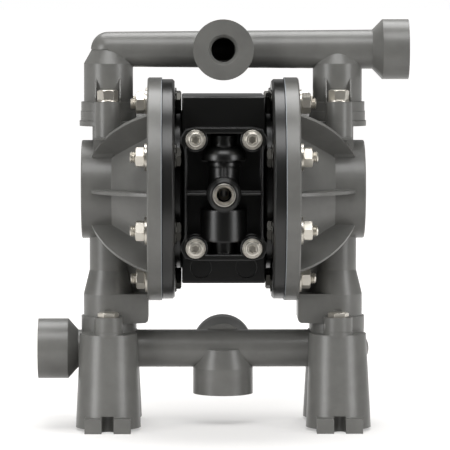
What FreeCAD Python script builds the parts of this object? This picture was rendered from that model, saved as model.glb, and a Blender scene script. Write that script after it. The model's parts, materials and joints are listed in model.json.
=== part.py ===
import FreeCAD, Part
import math
import os
import re
import Sketcher
from FreeCAD import Placement, Rotation, Vector

# Air operated double diaphragm pump, in millimetres.
# X runs left to "right", the air inlet faces -Y, Z is up and the feet stand on Z = 0.
# Heights named "above the axis" are measured from the pump axis, which runs along X.

doc = FreeCAD.newDocument("diaphragm_pump")
sheet = doc.addObject("Spreadsheet::Sheet", "Sizes")
names = []


def size(name, value, note):
    """Put one driving dimension in the sheet, with what it measures."""
    names.append(name)
    row = str(len(names))
    sheet.set("A" + row, name)
    sheet.set("B" + row, str(value))
    sheet.set("C" + row, note)
    sheet.setAlias("B" + row, name)


# Main layout
size("axis_height", 168.8, "pump axis above the floor")
size("column_x", 81.5, "valve columns, from the middle of the pump")
size("upper_joint", 217.8, "joint between fluid caps and outlet manifold")
size("lower_joint", 68.8, "joint between fluid caps and inlet manifold")
size("upper_tube", 268.4, "axis of the outlet tube")
size("lower_tube", 54.6, "axis of the inlet tube")
size("port_reach", 132, "faces of the end ports, from the middle")
size("side_reach", 32.2, "faces of the middle ports, from the tube axis")

# Chambers
size("joint_x", 43.4, "joint between air cap and fluid cap")
size("air_back", 34.4, "inner face of the air cap flange")
size("hub_face", 30.1, "inner face of the air cap hub")
size("air_radius", 78.4, "air cap flange")
size("air_floor", 34.9, "floor of the air chamber")
size("fluid_face", 53.6, "outer face of the fluid cap flange")
size("fluid_radius", 79.6, "fluid cap flange")
size("drum_radius", 35, "drum of the fluid cap")
size("drum_end", 100.5, "outer end of the drum")
size("drum_recess", 2.2, "depth of the recess in the drum end")
size("rim_width", 2.6, "rim around that recess")
size("wall", 4, "wall of the fluid caps")
size("bowl_start", 78.9, "where the drum opens into the bowl")
size("bowl_radius", 55, "bowl where it meets the flange")
size("rib_thick", 2.4, "radial ribs")
size("rib_bulge", 74.5, "radius of the rib edge")
size("rib_reach", 77.7, "rib edge at the flange")
size("rib_end", 93.3, "rib edge at the drum")
size("flange_edge", 1, "outer chamfer of the fluid cap flange")
size("joint_edge", 0.5, "chamfers where the two flanges meet")
size("air_edge", 1.5, "inner chamfer of the air cap flange")
size("seal_radius", 62, "diaphragm rim")
size("seal_thick", 3, "diaphragm thickness")
size("dish_radius", 52, "opening of the chambers at the joint")

# Cap bolts
size("bolt_circle", 67, "radius of the circle of cap bolts")
size("bolt_count", 8, "bolts on each side")
size("bolt_radius", 4, "cap and manifold bolts")
size("bolt_hole", 4.3, "clearance holes for them")
size("bolt_end", 65.5, "outer ends of the cap bolts")
size("hex_flats", 13, "across flats of heads and nuts")
size("washer_radius", 9.7, "washers and the flanges of the bolt heads")
size("washer_thick", 1.6, "washers and the flanges of the bolt heads")
size("head_high", 3.2, "hexagon of the cap bolt heads")
size("nut_high", 6.5, "nuts")

# Centre body
size("body_half", 29.3, "half width of the centre body")
size("body_depth", 42, "half depth of the centre body")
size("body_low", 104.7, "underside of the centre body")
size("body_high", 235.9, "top of the centre body")
size("body_edge", 1.2, "rounded edges of the centre body")
size("gasket_radius", 38, "gaskets on the sides of the centre body")
size("dimple_radius", 7.4, "shallow round recesses in the front")
size("dimple_x", 16, "their distance from the middle")
size("dimple_z", 115.8, "their height")
size("dimple_deep", 0.8, "their depth")

# Rod, plates and diaphragms
size("rod_radius", 8, "connecting rod")
size("rod_run", 0.05, "running clearance of the rod")
size("rod_half", 41, "ends of the connecting rod")
size("bushing_radius", 10.5, "outside of the rod bushings")
size("bushing_start", 12, "inner ends of the rod bushings")
size("groove_radius", 11.2, "bottom of the rod seal grooves")
size("seal_wide", 2.4, "width of the rod seals")
size("air_plate_radius", 38, "air-side plates")
size("air_plate_thick", 4, "air-side plates")
size("fluid_plate_radius", 36, "fluid-side plates")
size("fluid_plate_thick", 4, "fluid-side plates at the rim")
size("dome_high", 4, "raised middle of the fluid-side plates")
size("dome_radius", 16, "raised middle of the fluid-side plates")
size("screw_radius", 5, "plate screws")
size("screw_deep", 18, "length of the plate screws inside the rod")
size("screw_head", 6, "height of the plate screw heads")
size("screw_flats", 16, "across flats of the plate screw heads")
size("stroke", 5.5, "travel of the rod each way")

# Air valve
size("pilot_low", 24, "pilot axis below the pump axis")
size("pilot_radius", 5, "pilot spool")
size("pilot_half", 22, "half length of the pilot spool")
size("pilot_run", 0.05, "running clearance of the pilot spool")
size("pilot_sleeve_radius", 8, "outside of the pilot sleeve")
size("pin_radius", 3, "pilot pins")
size("pin_gap", 0.3, "gap around the pilot pins")
size("pin_end", 38, "tips of the pilot pins")
size("spool_radius", 5.5, "main spool")
size("spool_run", 0.05, "running clearance of the main spool")
size("spool_half", 26, "half length of the main spool")
size("sleeve_radius", 7.2, "outside of the valve sleeve")
size("sleeve_half", 34, "half length of the valve sleeve")
size("column_y", -51, "axis of the main spool, in front of the middle")
size("gasket_thick", 0.8, "flat gaskets")
size("block_half", 27.6, "half width of the valve block")
size("block_high", 46.4, "valve block above and below the axis")
size("block_drop", 1.6, "how far its top and bottom edges fall at the sides")
size("block_front", -66, "front rim of the valve block")
size("block_floor", -49, "floor of the cored front")
size("block_wall", 1.5, "side walls of the valve block")
size("wall_x", 26.2, "inside of the side walls")
size("bulge_reach", 30.3, "bulges of the block beside the screws, from the middle")
size("bulge_low", 30.2, "where those bulges begin, from the axis")
size("bell_low", 23, "bell at the top of the spool column, lower edge above the axis")
size("bell_high", 32.6, "upper edge of that bell")
size("bell_radius", 15, "radius of that bell")
size("bell_round", 8, "rounding of its shoulder")
size("drum_wide", 16, "radius of the drum at the bottom of the column")
size("collet_radius", 9.1, "ends of the column")
size("throttle_radius", 11.3, "upper band of the column")
size("drum_high", -11.2, "top of the drum at the bottom of the column")
size("drum_low", -33.6, "underside of that drum")
size("screw_x", 19.7, "block screws, from the middle")
size("screw_z", 37.9, "block screws, above and below the axis")
size("block_screw", 3, "block screws")
size("screw_flange", 7.1, "flanges of the block screws")
size("screw_into", 12, "length of the block screws inside the centre body")
size("boss_face", -64.6, "faces that the block screws sit on")
size("inlet_boss", 11.9, "boss around the air inlet")
size("insert_radius", 8, "air inlet insert")
size("insert_bore", 5.8, "threaded bore of the air inlet, drawn plain")
size("insert_long", 16, "length of the insert")
size("air_bore", 4.6, "air passage behind the insert")
size("insert_face", -78, "face of the air inlet insert")

# Manifolds
size("elbow_radius", 12.5, "outlet tube at its elbow")
size("tube_radius", 14, "outlet tube at its port")
size("inlet_radius", 13.4, "inlet tube")
size("bore_radius", 8.6, "bores of the manifold tubes")
size("leg_bore", 8, "bores that join those tubes")
size("port_bore", 9.3, "threaded bores of the ports, drawn plain")
size("port_deep", 18, "depth of those bores")
size("port_bevel", 1.6, "countersinks of the ports")
size("port_radius", 21.4, "port ends")
size("port_sink", 10.8, "countersink of the ports")
size("port_long", 18.6, "cylindrical part of the ports")
size("inlet_long", 21.4, "cylindrical part of the port at the end of the inlet tube")
size("cone_long", 7.2, "cones behind the end ports")
size("leg_radius", 17.5, "legs of the outlet manifold")
size("leg_top", 258.4, "where those legs start to narrow")
size("leg_end", 11.9, "those legs at the tube axis")
size("collar_radius", 19.5, "collars of the outlet manifold")
size("collar_top", 231.2, "tops of the collars")
size("collar_step", 6.8, "slightly wider foot of the collars")
size("closed_end", 91, "where the inlet tube rounds off, from the middle")
size("rim_radius", 20.7, "rims of the fluid caps under the collars")
size("rim_thick", 3.8, "those rims")
size("boss_radius", 9.3, "bosses of the manifold bolts")
size("upper_bolt_y", 25.4, "upper manifold bolts in front and behind")
size("lower_bolt_y", 25.4, "lower manifold bolts in front and behind")
size("upper_seat_z", 231.8, "faces under the upper bolt heads")
size("lower_seat_z", 74.3, "faces under the lower bolt heads")
size("ear_top", 79.3, "tops of the ears around the lower bolts")
size("ear_wide", 10, "ears around the lower bolts")
size("scoop_top", 83.8, "tops of the scoops above the lower bolt heads")
size("cheek_x", 8.1, "walls on either side of the upper bolt heads, from the middle of the bolt")
size("cheek_high", 18, "those walls, above the faces under the heads")
size("cheek_thick", 1.2, "thickness of those walls")
size("flange_head", 7.6, "flanges of the manifold bolt heads")
size("manifold_head", 8.4, "height of the manifold bolt heads")
size("throat_radius", 13.8, "lower necks of the fluid caps")
size("throat_z", 111.2, "where the lower necks widen")
size("chamber_radius", 18, "chambers under the lower necks")
size("chamber_z", 94.1, "tops of the cylinders of those chambers")
size("heel_x", 53.2, "inner end of the block between chamber and flange")
size("heel_z", 74.2, "underside of that block")
size("heel_round", 3, "its rounded corner")
size("heel_top", 94.8, "top of that block, inside the flange")
size("shelf_reach", 38.2, "shelves under the upper bolt bosses, to the front and rear")
size("shelf_thick", 1.9, "thickness of those shelves")
size("shoulder_long", 13.8, "tapered underside of the upper shoulder, along X")
size("shoulder_z", 205.1, "underside of the upper bolt bosses")
size("shoulder_low", 192.3, "where their tapered underside meets the drum")
size("neck_radius", 11.6, "upper necks of the fluid caps")
size("passage_radius", 9.3, "passages through the lower necks")

# Ball valves
size("ball_radius", 10.3, "balls")
size("ball_lift", 5.5, "lift of the balls")
size("cage_radius", 13.2, "chambers around the balls")
size("cage_high", 25, "height of those chambers above the joint")
size("seat_radius", 16.4, "valve seats")
size("seat_bore", 8, "bores of the valve seats")
size("seat_high", 2.6, "height of the valve seats")
size("seat_edge", 9.2, "seat edge that the ball rests on")
size("seat_bevel", 0.6, "bevel above that edge")
size("seat_gap", 0.2, "gap left between ball and seat")
size("stop_in", 6, "inner edges of the ribs that stop the balls")
size("stop_thick", 2.4, "those ribs")
size("stop_gap", 0.4, "gap between a lifted ball and those ribs")
size("ring_radius", 14.9, "middle of the seat sealing rings")
size("ring_thick", 1.2, "thickness radius of the sealing rings")

# Feet
size("foot_y", 30, "middle of each foot at the bottom")
size("foot_radius", 23, "foot at the bottom")
size("foot_top_y", 15, "middle of each foot at the top")
size("foot_top_radius", 20.2, "foot at the top")
size("foot_top", 66.8, "top of the feet")
size("skirt_z", 2, "lower edge of the hollow feet")
size("foot_wall", 3.6, "wall of the feet")
size("hollow_top", 32.8, "top of the hollow in each foot")
size("pad_high", 10.4, "pads")
size("pad_wide", 12, "pads, along X")
size("pad_front", 57, "outer faces of the pads")
size("pad_back", 41, "inner faces of the pads")
size("slot_half", 4.2, "half width of the foot slots")
size("slot_y", 48.8, "centre of the round end of the slots")

# Exhaust
size("exhaust_z", 168.8, "height of the exhaust")
size("nipple_radius", 8, "exhaust nipple")
size("muffler_radius", 17, "muffler")
size("muffler_start", 47, "inner end of the muffler")
size("muffler_end", 78, "outer end of the muffler")

doc.recompute()
word = re.compile("[a-z][a-z0-9_]*")
AXIS_X = Vector(1, 0, 0)
AXIS_Z = Vector(0, 0, 1)


def link(text):
    """Turn the size names in an expression into references to the sheet."""
    return word.sub(lambda found: "Sizes." + found.group() if found.group() in names else found.group(), text)


def num(text):
    """Value of an expression written with size names."""
    return float(sheet.evalExpression(link(text)))


def body(label, at=("0", "0", "0"), turn=Rotation()):
    """Start a sub-part, placed at a point that follows the sheet."""
    part = doc.addObject("PartDesign::Body", label)
    part.Label = label
    part.AllowCompound = True
    part.Placement = Placement(Vector(num(at[0]), num(at[1]), num(at[2])), turn)
    for key, text in zip("xyz", at):
        part.setExpression("Placement.Base." + key, link(text))
    return part


def origin(part, role):
    return [item for item in part.Origin.OriginFeatures if item.Role == role][0]


def attach(part, role, offset, tilt=0):
    """New sketch on one of the part's own planes, moved along its normal and tilted about its first axis."""
    sketch = part.newObject("Sketcher::SketchObject", part.Label + "_sketch")
    sketch.AttachmentSupport = (origin(part, role), [""])
    sketch.MapMode = "FlatFace"
    sketch.AttachmentOffset = Placement(Vector(0, 0, num(offset)), Rotation(AXIS_X, tilt))
    sketch.setExpression("AttachmentOffset.Base.z", link(offset))
    return sketch


def outline(part, role, corners, offset="0", tilt=0):
    """Closed sketch through corners. A third entry is the radius of the arc to the next corner."""
    sketch = attach(part, role, offset, tilt)
    flat = [Vector(num(corner[0]), num(corner[1]), 0) for corner in corners]
    ends = []
    for index, corner in enumerate(corners):
        begin = flat[index]
        finish = flat[(index + 1) % len(flat)]
        if len(corner) == 2:
            sketch.addGeometry(Part.LineSegment(begin, finish), False)
            ends.append((1, 2))
            continue
        radius = num(corner[2])
        half = (finish - begin) * 0.5
        side = Vector(-half.y, half.x, 0).normalize()
        rise = math.sqrt(radius * radius - half.Length * half.Length)
        middle = begin + half + side * rise
        circle = Part.Circle(middle, AXIS_Z, radius)
        sketch.addGeometry(Part.ArcOfCircle(circle, circle.parameter(begin), circle.parameter(finish)), False)
        sketch.setExpression("Constraints[%d]" % sketch.addConstraint(
            Sketcher.Constraint("Radius", index, radius)), link(corner[2]))
        ends.append((1, 2))
    for index, corner in enumerate(corners):
        after = (index + 1) % len(corners)
        sketch.addConstraint(Sketcher.Constraint("Coincident", index, ends[index][1], after, ends[after][0]))
    for index, corner in enumerate(corners):
        for kind, text, value in (("DistanceX", corner[0], flat[index].x), ("DistanceY", corner[1], flat[index].y)):
            rule = sketch.addConstraint(Sketcher.Constraint(kind, -1, 1, index, ends[index][0], value))
            sketch.setExpression("Constraints[%d]" % rule, link(text))
    return sketch


def disc(part, role, x, y, radius, offset="0"):
    """Circle sketch."""
    return bore(attach(part, role, offset), x, y, radius)


def hexagon(part, role, x, y, flats, offset="0"):
    """Hexagon sketch, a flat facing each way along the second axis."""
    corners = []
    for index in range(6):
        angle = 60 * index
        corners.append(("%s + %s / sqrt(3) * cos(%d)" % (x, flats, angle), "%s + %s / sqrt(3) * sin(%d)" % (y, flats, angle)))
    return outline(part, role, corners, offset)


def extrude(part, sketch, length, cut=False, back=False, both=False):
    """Pad, or pocket, of a sketch along its normal."""
    feature = part.newObject("PartDesign::Pocket" if cut else "PartDesign::Pad", part.Label + ("_pocket" if cut else "_pad"))
    feature.Profile = sketch
    feature.Refine = False
    feature.Length = num(length)
    feature.setExpression("Length", link(length))
    feature.SideType = "Symmetric" if both else "One side"
    feature.Reversed = back != cut
    return feature


def revolve(part, sketch, axis="X_Axis", cut=False):
    """Revolution, or groove, of a sketch about one of the part's own axes, or about the sketch's first edge."""
    feature = part.newObject("PartDesign::Groove" if cut else "PartDesign::Revolution", part.Label + "_turned")
    feature.Profile = sketch
    feature.Refine = False
    feature.ReferenceAxis = (origin(part, axis), [""]) if axis else (sketch, ["Edge1"])
    feature.Angle = 360
    return feature


def ball(part, at, radius):
    """Sphere about a point."""
    feature = part.newObject("PartDesign::AdditiveSphere", part.Label + "_sphere")
    feature.Placement = Placement(Vector(num(at[0]), num(at[1]), num(at[2])), Rotation())
    feature.Radius = num(radius)
    feature.setExpression("Radius", link(radius))
    return feature


def loft(part, first, second, cut=False):
    """Loft between two sketches."""
    feature = part.newObject("PartDesign::" + ("Subtractive" if cut else "Additive") + "Loft", part.Label + "_loft")
    feature.Profile = first
    feature.Sections = [second]
    feature.Refine = False
    return feature


def rod(part, at, direction, radius, length, cut=False):
    """Cylinder added to, or cut from, the part, from a point along a direction."""
    back = direction in ("down", "rear", "left")
    if direction in ("up", "down"):
        sketch = disc(part, "XY_Plane", at[0], at[1], radius, at[2])
    elif direction in ("front", "rear"):
        sketch = disc(part, "XZ_Plane", at[0], at[2], radius, "-(%s)" % at[1])
    else:
        sketch = disc(part, "YZ_Plane", at[1], at[2], radius, at[0])
    return extrude(part, sketch, length, cut, back)


def taper(part, at, direction, first, second, length, cut=False):
    """Cone added to, or cut from, the part: half its section, turned about its own axis."""
    sign = "-" if direction in ("down", "front", "left") else "+"
    if direction in ("up", "down"):
        role, offset, start, axis = "XZ_Plane", "-(%s)" % at[1], at[2], at[0]
    elif direction in ("front", "rear"):
        role, offset, start, axis = "XY_Plane", at[2], at[1], at[0]
    else:
        role, offset, start, axis = "XZ_Plane", "-(%s)" % at[1], at[0], at[2]
    finish = "%s %s (%s)" % (start, sign, length)
    corners = [(axis, start), (axis, finish), ("%s + %s" % (axis, second), finish), ("%s + %s" % (axis, first), start)]
    if direction in ("right", "left"):
        corners = [(along, out) for out, along in corners]
    return revolve(part, outline(part, role, corners, offset), "", cut)


def block(part, low, high, cut=False):
    """Box between two corners, added to, or cut from, the part."""
    sketch = outline(part, "XY_Plane", [(low[0], low[1]), (high[0], low[1]), (high[0], high[1]), (low[0], high[1])], low[2])
    return extrude(part, sketch, "%s - (%s)" % (high[2], low[2]), cut)


def ring_of(part, features, axis, count, angle=360):
    """Copies of features around one of the part's own axes."""
    pattern = part.newObject("PartDesign::PolarPattern", part.Label + "_ring")
    pattern.Originals = features
    pattern.Refine = False
    pattern.Axis = (origin(part, axis), [""])
    pattern.Angle = angle
    pattern.Occurrences = int(num(count))
    pattern.setExpression("Occurrences", link(count))
    part.Tip = pattern
    return pattern


def mirror(part, features, role):
    """Copies of features mirrored in one of the part's own planes."""
    pattern = part.newObject("PartDesign::Mirrored", part.Label + "_mirror")
    pattern.Originals = features
    pattern.Refine = False
    pattern.MirrorPlane = (origin(part, role), [""])
    part.Tip = pattern
    return pattern


def four(part, features, first="YZ_Plane", second="XZ_Plane"):
    """Copies of features mirrored in two of the part's own planes, four in all."""
    pattern = part.newObject("PartDesign::MultiTransform", part.Label + "_four")
    pattern.Originals = features
    pattern.Refine = False
    steps = []
    for role in (first, second):
        step = part.newObject("PartDesign::Mirrored", part.Label + "_step")
        step.MirrorPlane = (origin(part, role), [""])
        steps.append(step)
    pattern.Transformations = steps
    part.Tip = pattern
    return pattern


def bore(sketch, x, y, radius):
    """Round hole added to a sketch."""
    index = sketch.addGeometry(Part.Circle(Vector(num(x), num(y), 0), AXIS_Z, num(radius)), False)
    for kind, text in (("DistanceX", x), ("DistanceY", y)):
        rule = sketch.addConstraint(Sketcher.Constraint(kind, -1, 1, index, 3, num(text)))
        sketch.setExpression("Constraints[%d]" % rule, link(text))
    rule = sketch.addConstraint(Sketcher.Constraint("Radius", index, num(radius)))
    sketch.setExpression("Constraints[%d]" % rule, link(radius))
    return sketch


def sides():
    """The two ends of the pump: the right one as drawn, the left one turned half round."""
    return (("right", Rotation()), ("left", Rotation(AXIS_Z, 180)))


AXIS = ("0", "0", "axis_height")
# Rest height of a ball's middle above its joint, and height of the ribs that stop it
REST = "seat_gap - seat_bevel + sqrt(ball_radius * ball_radius - seat_edge * seat_edge)"
STOP = REST + " + ball_lift + stop_gap + sqrt(ball_radius * ball_radius - stop_in * stop_in)"

# Centre body with the bores for the rod, the pilot sleeve and the exhaust
core = body("centre_body", AXIS)
shell = block(core, ("-body_half", "-body_depth", "body_low - axis_height"),
              ("body_half", "body_depth", "body_high - axis_height"))
doc.recompute()
rounded = core.newObject("PartDesign::Fillet", "centre_body_edges")
rounded.Base = (shell, ["Edge%d" % (i + 1) for i, edge in enumerate(shell.Shape.Edges)])
rounded.Radius = num("body_edge")
rounded.setExpression("Radius", link("body_edge"))
rod(core, ("-body_half", "0", "0"), "right", "bushing_radius", "2 * body_half", cut=True)
rod(core, ("-body_half", "0", "-pilot_low"), "right", "pilot_sleeve_radius", "2 * body_half", cut=True)
rod(core, ("0", "bushing_radius + 4", "exhaust_z - axis_height"), "rear", "nipple_radius", "body_depth", cut=True)
dimple = rod(core, ("dimple_x", "-body_depth + dimple_deep", "dimple_z - axis_height"), "front",
             "dimple_radius", "body_depth", cut=True)
mirror(core, [dimple], "YZ_Plane")
screw_hole = rod(core, ("screw_x", "-body_depth + screw_into + 2", "screw_z"), "front", "block_screw + 0.1",
                 "body_depth", cut=True)
four(core, [screw_hole], "YZ_Plane", "XY_Plane")

# Gaskets between the centre body and the air caps
gaskets = body("body_gaskets", AXIS)
flat = disc(gaskets, "YZ_Plane", "0", "0", "gasket_radius", "body_half")
bore(flat, "0", "0", "groove_radius + 1.5")
bore(flat, "0", "-pilot_low", "pilot_sleeve_radius + 0.5")
mirror(gaskets, [extrude(gaskets, flat, "hub_face - body_half")], "YZ_Plane")

for side, turn in sides():
    # Air cap: a dished disc with a hub that carries the rod bushing
    cap = body("air_cap_" + side, AXIS, turn)
    revolve(cap, outline(cap, "XZ_Plane", [
        ("hub_face", "rod_radius + 0.4"),
        ("air_floor", "rod_radius + 0.4"),
        ("air_floor", "air_plate_radius + 3"),
        ("joint_x", "dish_radius"),
        ("joint_x", "air_radius - joint_edge"),
        ("joint_x - joint_edge", "air_radius"),
        ("air_back + air_edge", "air_radius"),
        ("air_back", "air_radius - air_edge"),
        ("air_back", "dish_radius"),
        ("hub_face", "dish_radius - 6")]))
    revolve(cap, outline(cap, "XZ_Plane", [
        ("hub_face - 1", "rod_radius"),
        ("hub_face + seal_wide", "rod_radius"),
        ("hub_face + seal_wide", "groove_radius"),
        ("hub_face - 1", "groove_radius")]), cut=True)
    rod(cap, ("hub_face - 1", "0", "-pilot_low"), "right", "pin_radius + pin_gap", "joint_x", cut=True)
    hole = rod(cap, ("hub_face - 1", "bolt_circle * cos(22.5)", "bolt_circle * sin(22.5)"), "right",
               "bolt_hole", "joint_x", cut=True)
    ring_of(cap, [hole], "X_Axis", "bolt_count")

    # Fluid cap: flange, bowl and drum
    cap = body("fluid_cap_" + side, AXIS, turn)
    revolve(cap, outline(cap, "XZ_Plane", [
        ("joint_x", "0"),
        ("joint_x", "fluid_radius - joint_edge"),
        ("joint_x + joint_edge", "fluid_radius"),
        ("fluid_face - flange_edge", "fluid_radius"),
        ("fluid_face", "fluid_radius - flange_edge"),
        ("fluid_face", "bowl_radius"),
        ("bowl_start", "drum_radius"),
        ("drum_end - 0.6", "drum_radius"),
        ("drum_end", "drum_radius - 0.6"),
        ("drum_end", "drum_radius - rim_width"),
        ("drum_end - drum_recess", "drum_radius - rim_width"),
        ("drum_end - drum_recess", "0")]))
    # Radial ribs, with a bulging edge: two level ones and four at 45 degrees
    rib = [("fluid_face - 1", "drum_radius - 1"),
           ("rib_end", "drum_radius - 1", "rib_bulge"),
           ("fluid_face - 1", "rib_reach")]
    level = extrude(cap, outline(cap, "XY_Plane", rib), "rib_thick", both=True)
    ring_of(cap, [level], "X_Axis", "2")
    slanted = extrude(cap, outline(cap, "XY_Plane", rib, tilt=45), "rib_thick", both=True)
    ring_of(cap, [slanted], "X_Axis", "4")
    # Upper neck, rim and shoulder with the bosses of the manifold bolts
    rod(cap, ("column_x", "0", "0"), "up", "neck_radius", "upper_joint - axis_height")
    rod(cap, ("column_x", "0", "upper_joint - axis_height - rim_thick"), "up", "rim_radius", "rim_thick")
    block(cap, ("fluid_face - 0.5", "-upper_bolt_y", "shoulder_z - axis_height"),
          ("column_x + 2", "upper_bolt_y", "upper_joint - axis_height"))
    block(cap, ("fluid_face - 0.5", "-shelf_reach", "shoulder_z - axis_height"),
          ("column_x + boss_radius - 0.7", "shelf_reach", "shoulder_z + shelf_thick - axis_height"))
    extrude(cap, outline(cap, "YZ_Plane", [
        ("upper_bolt_y + boss_radius - 0.8", "shoulder_z - axis_height"),
        ("upper_bolt_y + 1", "shoulder_low - axis_height"),
        ("-upper_bolt_y - 1", "shoulder_low - axis_height"),
        ("0.8 - upper_bolt_y - boss_radius", "shoulder_z - axis_height")], "column_x - 3.8"), "shoulder_long")
    post = rod(cap, ("column_x", "upper_bolt_y", "shoulder_z - axis_height"), "up", "boss_radius",
               "upper_joint - shoulder_z")
    mirror(cap, [post], "XZ_Plane")
    # Lower chamber: neck, cone, cylinder, block under the flange and ears for the manifold bolts
    rod(cap, ("column_x", "0", "throat_z - axis_height"), "up", "throat_radius", "axis_height - throat_z")
    taper(cap, ("column_x", "0", "chamber_z - axis_height"), "up", "chamber_radius", "throat_radius",
          "throat_z - chamber_z")
    rod(cap, ("column_x", "0", "lower_joint - axis_height"), "up", "chamber_radius", "chamber_z - lower_joint")
    rod(cap, ("column_x", "0", "lower_joint - axis_height"), "up", "collar_radius + 0.2", "ear_top - lower_joint - 0.9")
    extrude(cap, outline(cap, "XZ_Plane", [
        ("heel_x", "heel_top - axis_height"),
        ("heel_x", "heel_z - axis_height + heel_round", "heel_round"),
        ("heel_x + heel_round", "heel_z - axis_height"),
        ("column_x", "heel_z - 1.2 - axis_height"),
        ("column_x", "heel_top - axis_height")]), "2 * chamber_radius - 1", both=True)
    ear = rod(cap, ("column_x", "lower_bolt_y", "lower_joint - axis_height"), "up", "ear_wide", "ear_top - lower_joint")
    mirror(cap, [ear], "XZ_Plane")
    block(cap, ("column_x - ear_wide", "-lower_bolt_y", "lower_joint - axis_height"),
          ("column_x + ear_wide", "lower_bolt_y", "ear_top - axis_height"))
    # Chamber, drum hollow and seal recess
    revolve(cap, outline(cap, "XZ_Plane", [
        ("joint_x - 1", "0"),
        ("joint_x - 1", "seal_radius"),
        ("joint_x + seal_thick", "seal_radius"),
        ("joint_x + seal_thick", "dish_radius"),
        ("bowl_start - 2", "drum_radius - wall"),
        ("drum_end - drum_recess - wall", "drum_radius - wall"),
        ("drum_end - drum_recess - wall", "0")]), cut=True)
    # Passages to the valves above and below, with the seat pocket and the ball chamber
    rod(cap, ("column_x", "0", "0"), "up", "seat_bore", "upper_joint - axis_height", cut=True)
    rod(cap, ("column_x", "0", "upper_joint - axis_height - seat_high"), "up", "seat_radius + 0.1",
        "seat_high + 1", cut=True)
    rod(cap, ("column_x", "0", "0"), "down", "passage_radius", "axis_height - chamber_z", cut=True)
    rod(cap, ("column_x", "0", "lower_joint - axis_height - 1"), "up", "cage_radius", "cage_high + 1", cut=True)
    # Stops that keep the ball off the passage, and the recess of the sealing ring
    stop = block(cap, ("column_x - stop_thick / 2", "stop_in", "lower_joint - axis_height + " + STOP),
                 ("column_x + stop_thick / 2", "cage_radius + 1", "lower_joint + cage_high + 5 - axis_height"))
    mirror(cap, [stop], "XZ_Plane")
    rod(cap, ("column_x", "0", "lower_joint - axis_height - 1"), "up", "ring_radius + ring_thick + 0.1",
        "2 * ring_thick + 1", cut=True)
    # Holes
    holes = [
        rod(cap, ("column_x", "upper_bolt_y", "shoulder_z - axis_height - 1"), "up", "bolt_hole", "20", cut=True),
        rod(cap, ("column_x", "lower_bolt_y", "lower_joint - axis_height - 1"), "up", "bolt_hole", "20", cut=True),
        rod(cap, ("column_x", "lower_bolt_y", "lower_seat_z - axis_height"), "up", "flange_head + 0.5",
            "scoop_top - lower_seat_z", cut=True)]
    mirror(cap, holes, "XZ_Plane")
    hole = rod(cap, ("joint_x - 1", "bolt_circle * cos(22.5)", "bolt_circle * sin(22.5)"), "right",
               "bolt_hole", "fluid_face - joint_x + 2", cut=True)
    ring_of(cap, [hole], "X_Axis", "bolt_count")

    # Flanged hexagon bolts, washers and nuts around the caps
    tilt = Rotation(AXIS_X, 22.5)
    bolts = body("cap_bolts_" + side, AXIS, turn.multiply(tilt))
    shank = rod(bolts, ("air_back - washer_thick", "bolt_circle", "0"), "right", "bolt_radius",
                "bolt_end - air_back + washer_thick")
    brim = rod(bolts, ("air_back - washer_thick", "bolt_circle", "0"), "right", "washer_radius", "washer_thick")
    head = extrude(bolts, hexagon(bolts, "YZ_Plane", "bolt_circle", "0", "hex_flats", "air_back - washer_thick - head_high"),
                   "head_high")
    ring_of(bolts, [shank, brim, head], "X_Axis", "bolt_count")
    washers = body("cap_washers_" + side, AXIS, turn.multiply(tilt))
    flat = bore(disc(washers, "YZ_Plane", "bolt_circle", "0", "washer_radius", "fluid_face"),
                "bolt_circle", "0", "bolt_hole")
    ring_of(washers, [extrude(washers, flat, "washer_thick")], "X_Axis", "bolt_count")
    nuts = body("cap_nuts_" + side, AXIS, turn.multiply(tilt))
    flat = bore(hexagon(nuts, "YZ_Plane", "bolt_circle", "0", "hex_flats", "fluid_face + washer_thick"),
                "bolt_circle", "0", "bolt_radius + 0.02")
    ring_of(nuts, [extrude(nuts, flat, "nut_high")], "X_Axis", "bolt_count")

    # Diaphragm: rim in the joint, flat middle between the plates and a fold between them
    sheet_of = body("diaphragm_" + side, AXIS, turn)
    revolve(sheet_of, outline(sheet_of, "XZ_Plane", [
        ("rod_half + air_plate_thick", "screw_radius + 0.1"),
        ("rod_half + air_plate_thick", "air_plate_radius"),
        ("joint_x + 0.05", "dish_radius + 1"),
        ("joint_x + 0.05", "seal_radius - 0.1"),
        ("joint_x + seal_thick", "seal_radius - 0.1"),
        ("joint_x + seal_thick", "dish_radius"),
        ("rod_half + air_plate_thick + seal_thick", "air_plate_radius - 1"),
        ("rod_half + air_plate_thick + seal_thick", "screw_radius + 0.1")]))
    plate = body("air_plate_" + side, AXIS, turn)
    revolve(plate, outline(plate, "XZ_Plane", [
        ("rod_half", "screw_radius + 0.1"),
        ("rod_half", "air_plate_radius - 1.5"),
        ("rod_half + 1.5", "air_plate_radius"),
        ("rod_half + air_plate_thick", "air_plate_radius"),
        ("rod_half + air_plate_thick", "screw_radius + 0.1")]))
    plate = body("fluid_plate_" + side, AXIS, turn)
    foot = "rod_half + air_plate_thick + seal_thick"
    revolve(plate, outline(plate, "XZ_Plane", [
        (foot, "screw_radius + 0.1"),
        (foot, "fluid_plate_radius"),
        (foot + " + 1.5", "fluid_plate_radius"),
        (foot + " + fluid_plate_thick", "fluid_plate_radius - 6"),
        (foot + " + fluid_plate_thick + dome_high", "dome_radius"),
        (foot + " + fluid_plate_thick + dome_high", "screw_radius + 0.1")]))
    screw = body("plate_screw_" + side, AXIS, turn)
    seat = foot + " + fluid_plate_thick + dome_high"
    rod(screw, ("rod_half - screw_deep", "0", "0"), "right", "screw_radius", seat + " - rod_half + screw_deep")
    rod(screw, (seat, "0", "0"), "right", "screw_flats * 0.64", "1.8")
    extrude(screw, hexagon(screw, "YZ_Plane", "0", "0", "screw_flats", seat), "screw_head")

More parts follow.
